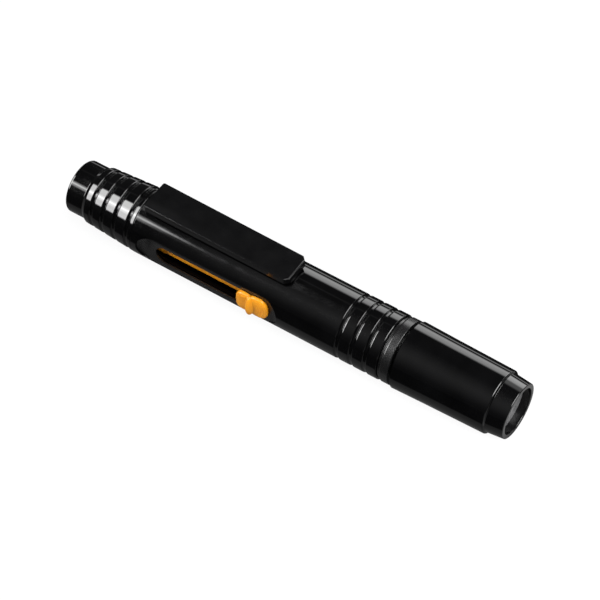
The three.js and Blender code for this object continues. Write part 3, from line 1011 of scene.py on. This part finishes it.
def make_cap():
    """The tapered cap with its stepped end, and what is inside it."""
    shoulder, shoulder_r = CAP_STOP - 4.1, BARREL_R * 0.962
    rim, rim_r = CAP_STOP + 0.22, 6.46
    mouth_r, swell_r = BARREL_R * 1.024, BARREL_R * 0.999
    neck_hole = NECK_R + 2 * GAP
    recess_stop = CAP_STOP - RECESS_DEPTH
    profile = [
        (CAP_START, mouth_r, 0),
        (CAP_START + 7.5, swell_r, 6.0),
        (shoulder, shoulder_r, 0.75),
        (shoulder + 0.2, shoulder_r - 0.5, 0.08),
        (rim, rim_r, 0.2),
        (rim, RECESS_R, 0.15),
        (recess_stop, RECESS_R, 0.05),
        (recess_stop, CAP_BORE_R, 0),
        (CAP_START + CAP_LIP, CAP_BORE_R, 0),
        (CAP_START + CAP_LIP, neck_hole, 0.1),
        (CAP_START, neck_hole, 0.15),
    ]
    shell = turned("cap_body", profile)
    place(shell, "cap_shell", "cap", "gloss_black")
    (start, _, _), (stop, _, _) = span("cap_liner")
    inner = NECK_R + GAP
    liner = turned("cap_sleeve", [
        (start, LINER_R, 0.15), (stop, LINER_R, 0.1), (stop, inner, 0.1), (start, inner, 0.25),
    ], SMALL_STEPS)
    place(liner, "cap_liner", "cap", "satin_black")
    (start, _, _), (stop, _, _) = span("carbon_cup")
    well_r, well_floor = 5.2, stop - 0.9
    cup = turned("carbon_well", [
        (start, LINER_R, 0.15), (stop, LINER_R, 0.15), (stop, 0, 0), (well_floor, 0, 0),
        (well_floor, well_r, 0.1), (start, well_r, 0.2),
    ], SMALL_STEPS)
    place(cup, "carbon_cup", "cap", "satin_black")
    (start, _, _), (stop, _, _) = span("carbon_pad")
    felt_r = 4.85
    pad = turned("carbon_felt", [
        (start, 0, 0), (start, 1.5, 1.0), (start + 0.15, 3.4, 1.5), (start + 0.5, felt_r, 0.5),
        (stop, felt_r, 0.2), (stop, 0, 0),
    ], SMALL_STEPS)
    place(pad, "carbon_pad", "cap", "carbon")
    (start, _, _), (stop, _, _) = span("cap_end_plug")
    face, seat = stop + 0.2, recess_stop - SEAM
    floor_r = RECESS_R - SEAM
    dish = face - 0.3
    plug = turned("recess_floor", [
        (start, 0, 0), (start, LINER_R, 0.1), (seat, LINER_R, 0), (seat, floor_r, 0),
        (face, floor_r, 0.05), (face, 2.7, 0.1), (dish, 2.5, 0.1), (dish, 0, 0),
    ], SMALL_STEPS)
    place(plug, "cap_end_plug", "cap", "pale_grey")


def make_grip_ring():
    (start, _, _), (stop, _, _) = span("cap_grip_ring")
    minor = (stop - start) / 2
    middle = (start + stop) / 2
    ring_r = NECK_R + GAP + minor
    steps = 20
    profile = []
    for k in range(steps):
        angle = -2 * math.pi * k / steps
        profile.append((middle - minor * math.cos(angle), ring_r - minor * math.sin(angle)))
    ring = new_object("grip_ring_round", turned_mesh(profile, SMALL_STEPS))
    place(ring, "cap_grip_ring", "cap_ring", "rubber")


# ---------------------------------------------------------------- stage

# Soft light cards round the pen. The first range is the angle round it, from up towards -Y.
# The second is the lean along it, towards +X. Both are in degrees as (low, high, softness), and the
# last number is how bright the card is.
CARDS = {
    "back softbox": ((-83.5, -56.5, 5.0), (-22.5, 12.0, 1.2), 3.4),
    "back softbox, right end": ((-83.5, -37.0, 5.0), (-9.0, 12.0, 1.5), 1.3),
    "back tube": ((-27.6, -24.2, 1.2), (-45.0, -17.0, 2.0), 0.15),
    "front fill": ((15.0, 60.0, 26.0), (-22.3, 30.0, 1.5), 0.25),
    "clip edge": ((-8.0, 13.0, 3.0), (-23.7, -21.2, 0.2), 4.5),
    "left key": ((8.0, 71.0, 3.0), (-60.0, -28.5, 1.5), 14.0),
    "left key, inner end": ((37.0, 43.0, 2.0), (-50.0, -23.2, 0.35), 7.5),
    "left key, corner": ((32.0, 50.0, 3.0), (-50.0, -24.0, 0.35), 5.0),
    "right key": ((-28.0, 24.0, 8.0), (2.0, 38.0, 3.0), 13.0),
}
AMBIENT = 0.045
SOFT_SHARE = 0.2  # how much of the cards' light falls on matte surfaces
PALE = 0.9  # how light the floor and backdrop look
FLOOR_SIZE = 3000
FLOOR_DROP = 0.02  # how far the floor lies under the pen
FLOOR_TONE = 0.06
NEAR_FLOOR_HALF = 14.8  # half-width of the floor that the gloss sees as lit beside the pen
NEAR_FLOOR_SOFT = 0.6
NEAR_FLOOR_GLOW = 0.17
FAR_FLOOR_GLOW = 0.02
END_FLOOR_START = 57.0  # the floor beyond the cap is lit too
END_FLOOR_SOFT = 2
END_FLOOR_GLOW = 0.3
FAR_STRIP = (72.0, 210.0)  # a lit strip of floor behind the pen
FAR_STRIP_SOFT = 10
END_LIGHT_SIZE = 80
END_LIGHT_POWER = 0.38
END_LIGHT_PLACE = (95, -50, 105)  # past the cap's end along X, then Y and Z


def add_world():
    """Soft cards on a dark studio for the pen to reflect, and a pale backdrop behind it."""
    world = bpy.data.worlds.new("studio")
    world.use_nodes = True
    g = Graph(world.node_tree)
    x, y, z = g.parts(g.nodes.new("ShaderNodeTexCoord").outputs["Generated"])
    along = g.maths("DEGREES", g.maths("ARCSINE", x))
    around = g.maths("DEGREES", g.maths("ARCTAN2", g.maths("MULTIPLY", y, -1.0), z))
    light = AMBIENT
    for around_range, along_range, brightness in CARDS.values():
        shape = g.maths("MULTIPLY", g.window(around, *around_range), g.window(along, *along_range))
        light = g.maths("ADD", g.maths("MULTIPLY", shape, brightness), light)
    path = g.nodes.new("ShaderNodeLightPath")
    share = g.spread(path.outputs["Is Diffuse Ray"], 1.0, SOFT_SHARE, start=0.0, stop=1.0)
    light = g.maths("MULTIPLY", light, share)
    backdrop = path.outputs["Is Camera Ray"]
    seen = g.maths("MULTIPLY", backdrop, PALE)
    unseen = g.maths("MULTIPLY", g.maths("SUBTRACT", 1.0, backdrop), light)
    g.links.new(g.maths("ADD", seen, unseen), g.nodes["Background"].inputs["Strength"])
    g.nodes["Background"].inputs["Color"].default_value = (1, 1, 1, 1)
    bpy.context.scene.world = world


def add_end_light():
    """A soft lamp off the cap end. Gloss doesn't show it, so it lights the floor of the recess."""
    data = bpy.data.lights.new("end_light", "AREA")
    data.shape = "DISK"
    data.size = END_LIGHT_SIZE * MM
    data.energy = END_LIGHT_POWER
    lamp = bpy.data.objects.new("end_light", data)
    target = Vector((CAP_STOP, AXIS_Y, AXIS_Z)) * MM
    past, y, z = END_LIGHT_PLACE
    lamp.location = Vector((CAP_STOP + past, y, z)) * MM
    lamp.rotation_euler = (target - lamp.location).to_track_quat("-Z", "Y").to_euler()
    lamp.visible_glossy = False
    lamp.visible_camera = False
    bpy.context.collection.objects.link(lamp)


def floor_material():
    """Pale matte surface. The pen's gloss sees it as dark except beside and beyond the pen."""
    material = bpy.data.materials.new("pale_floor")
    material.use_nodes = True
    g = Graph(material.node_tree)
    g.nodes.clear()
    x, y, _ = g.parts(g.nodes.new("ShaderNodeTexCoord").outputs["Object"])
    near = g.spread(
        g.maths("ABSOLUTE", y), NEAR_FLOOR_GLOW, FAR_FLOOR_GLOW,
        start=(NEAR_FLOOR_HALF - NEAR_FLOOR_SOFT) * MM,
        stop=(NEAR_FLOOR_HALF + NEAR_FLOOR_SOFT) * MM,
    )
    beyond = g.spread(
        x, 0.0, END_FLOOR_GLOW,
        start=END_FLOOR_START * MM, stop=(END_FLOOR_START + END_FLOOR_SOFT) * MM,
    )
    strip = g.window(y, FAR_STRIP[0] * MM, FAR_STRIP[1] * MM, FAR_STRIP_SOFT * MM)
    reflected = g.nodes.new("ShaderNodeEmission")
    g.links.new(g.maths("ADD", g.maths("ADD", near, beyond), strip), reflected.inputs["Strength"])
    glow = g.nodes.new("ShaderNodeEmission")
    glow.inputs["Strength"].default_value = PALE
    matte = g.nodes.new("ShaderNodeBsdfDiffuse")
    matte.inputs["Color"].default_value = (FLOOR_TONE, FLOOR_TONE, FLOOR_TONE, 1)
    plain = g.nodes.new("ShaderNodeAddShader")
    g.links.new(matte.outputs[0], plain.inputs[0])
    g.links.new(glow.outputs[0], plain.inputs[1])
    choice = g.nodes.new("ShaderNodeMixShader")
    g.links.new(g.nodes.new("ShaderNodeLightPath").outputs["Is Glossy Ray"], choice.inputs["Fac"])
    g.links.new(plain.outputs[0], choice.inputs[1])
    g.links.new(reflected.outputs[0], choice.inputs[2])
    output = g.nodes.new("ShaderNodeOutputMaterial")
    g.links.new(choice.outputs[0], output.inputs["Surface"])
    return material


def add_stage():
    bm = bmesh.new()
    bmesh.ops.create_grid(bm, x_segments=1, y_segments=1, size=FLOOR_SIZE)
    bmesh.ops.translate(bm, verts=bm.verts, vec=(0, 0, FLOOR_Z - FLOOR_DROP))
    floor = new_object("floor", bm)
    floor.data.materials.append(floor_material())
    add_world()
    add_end_light()
    bpy.context.scene.view_settings.view_transform = "Standard"


make_barrel()
make_slot_plate()
make_nose()
make_clip()
make_neck_plug()
make_tip()
make_button()
make_carriage()
make_leaf()
make_brush()
make_cap()
make_grip_ring()
add_stage()
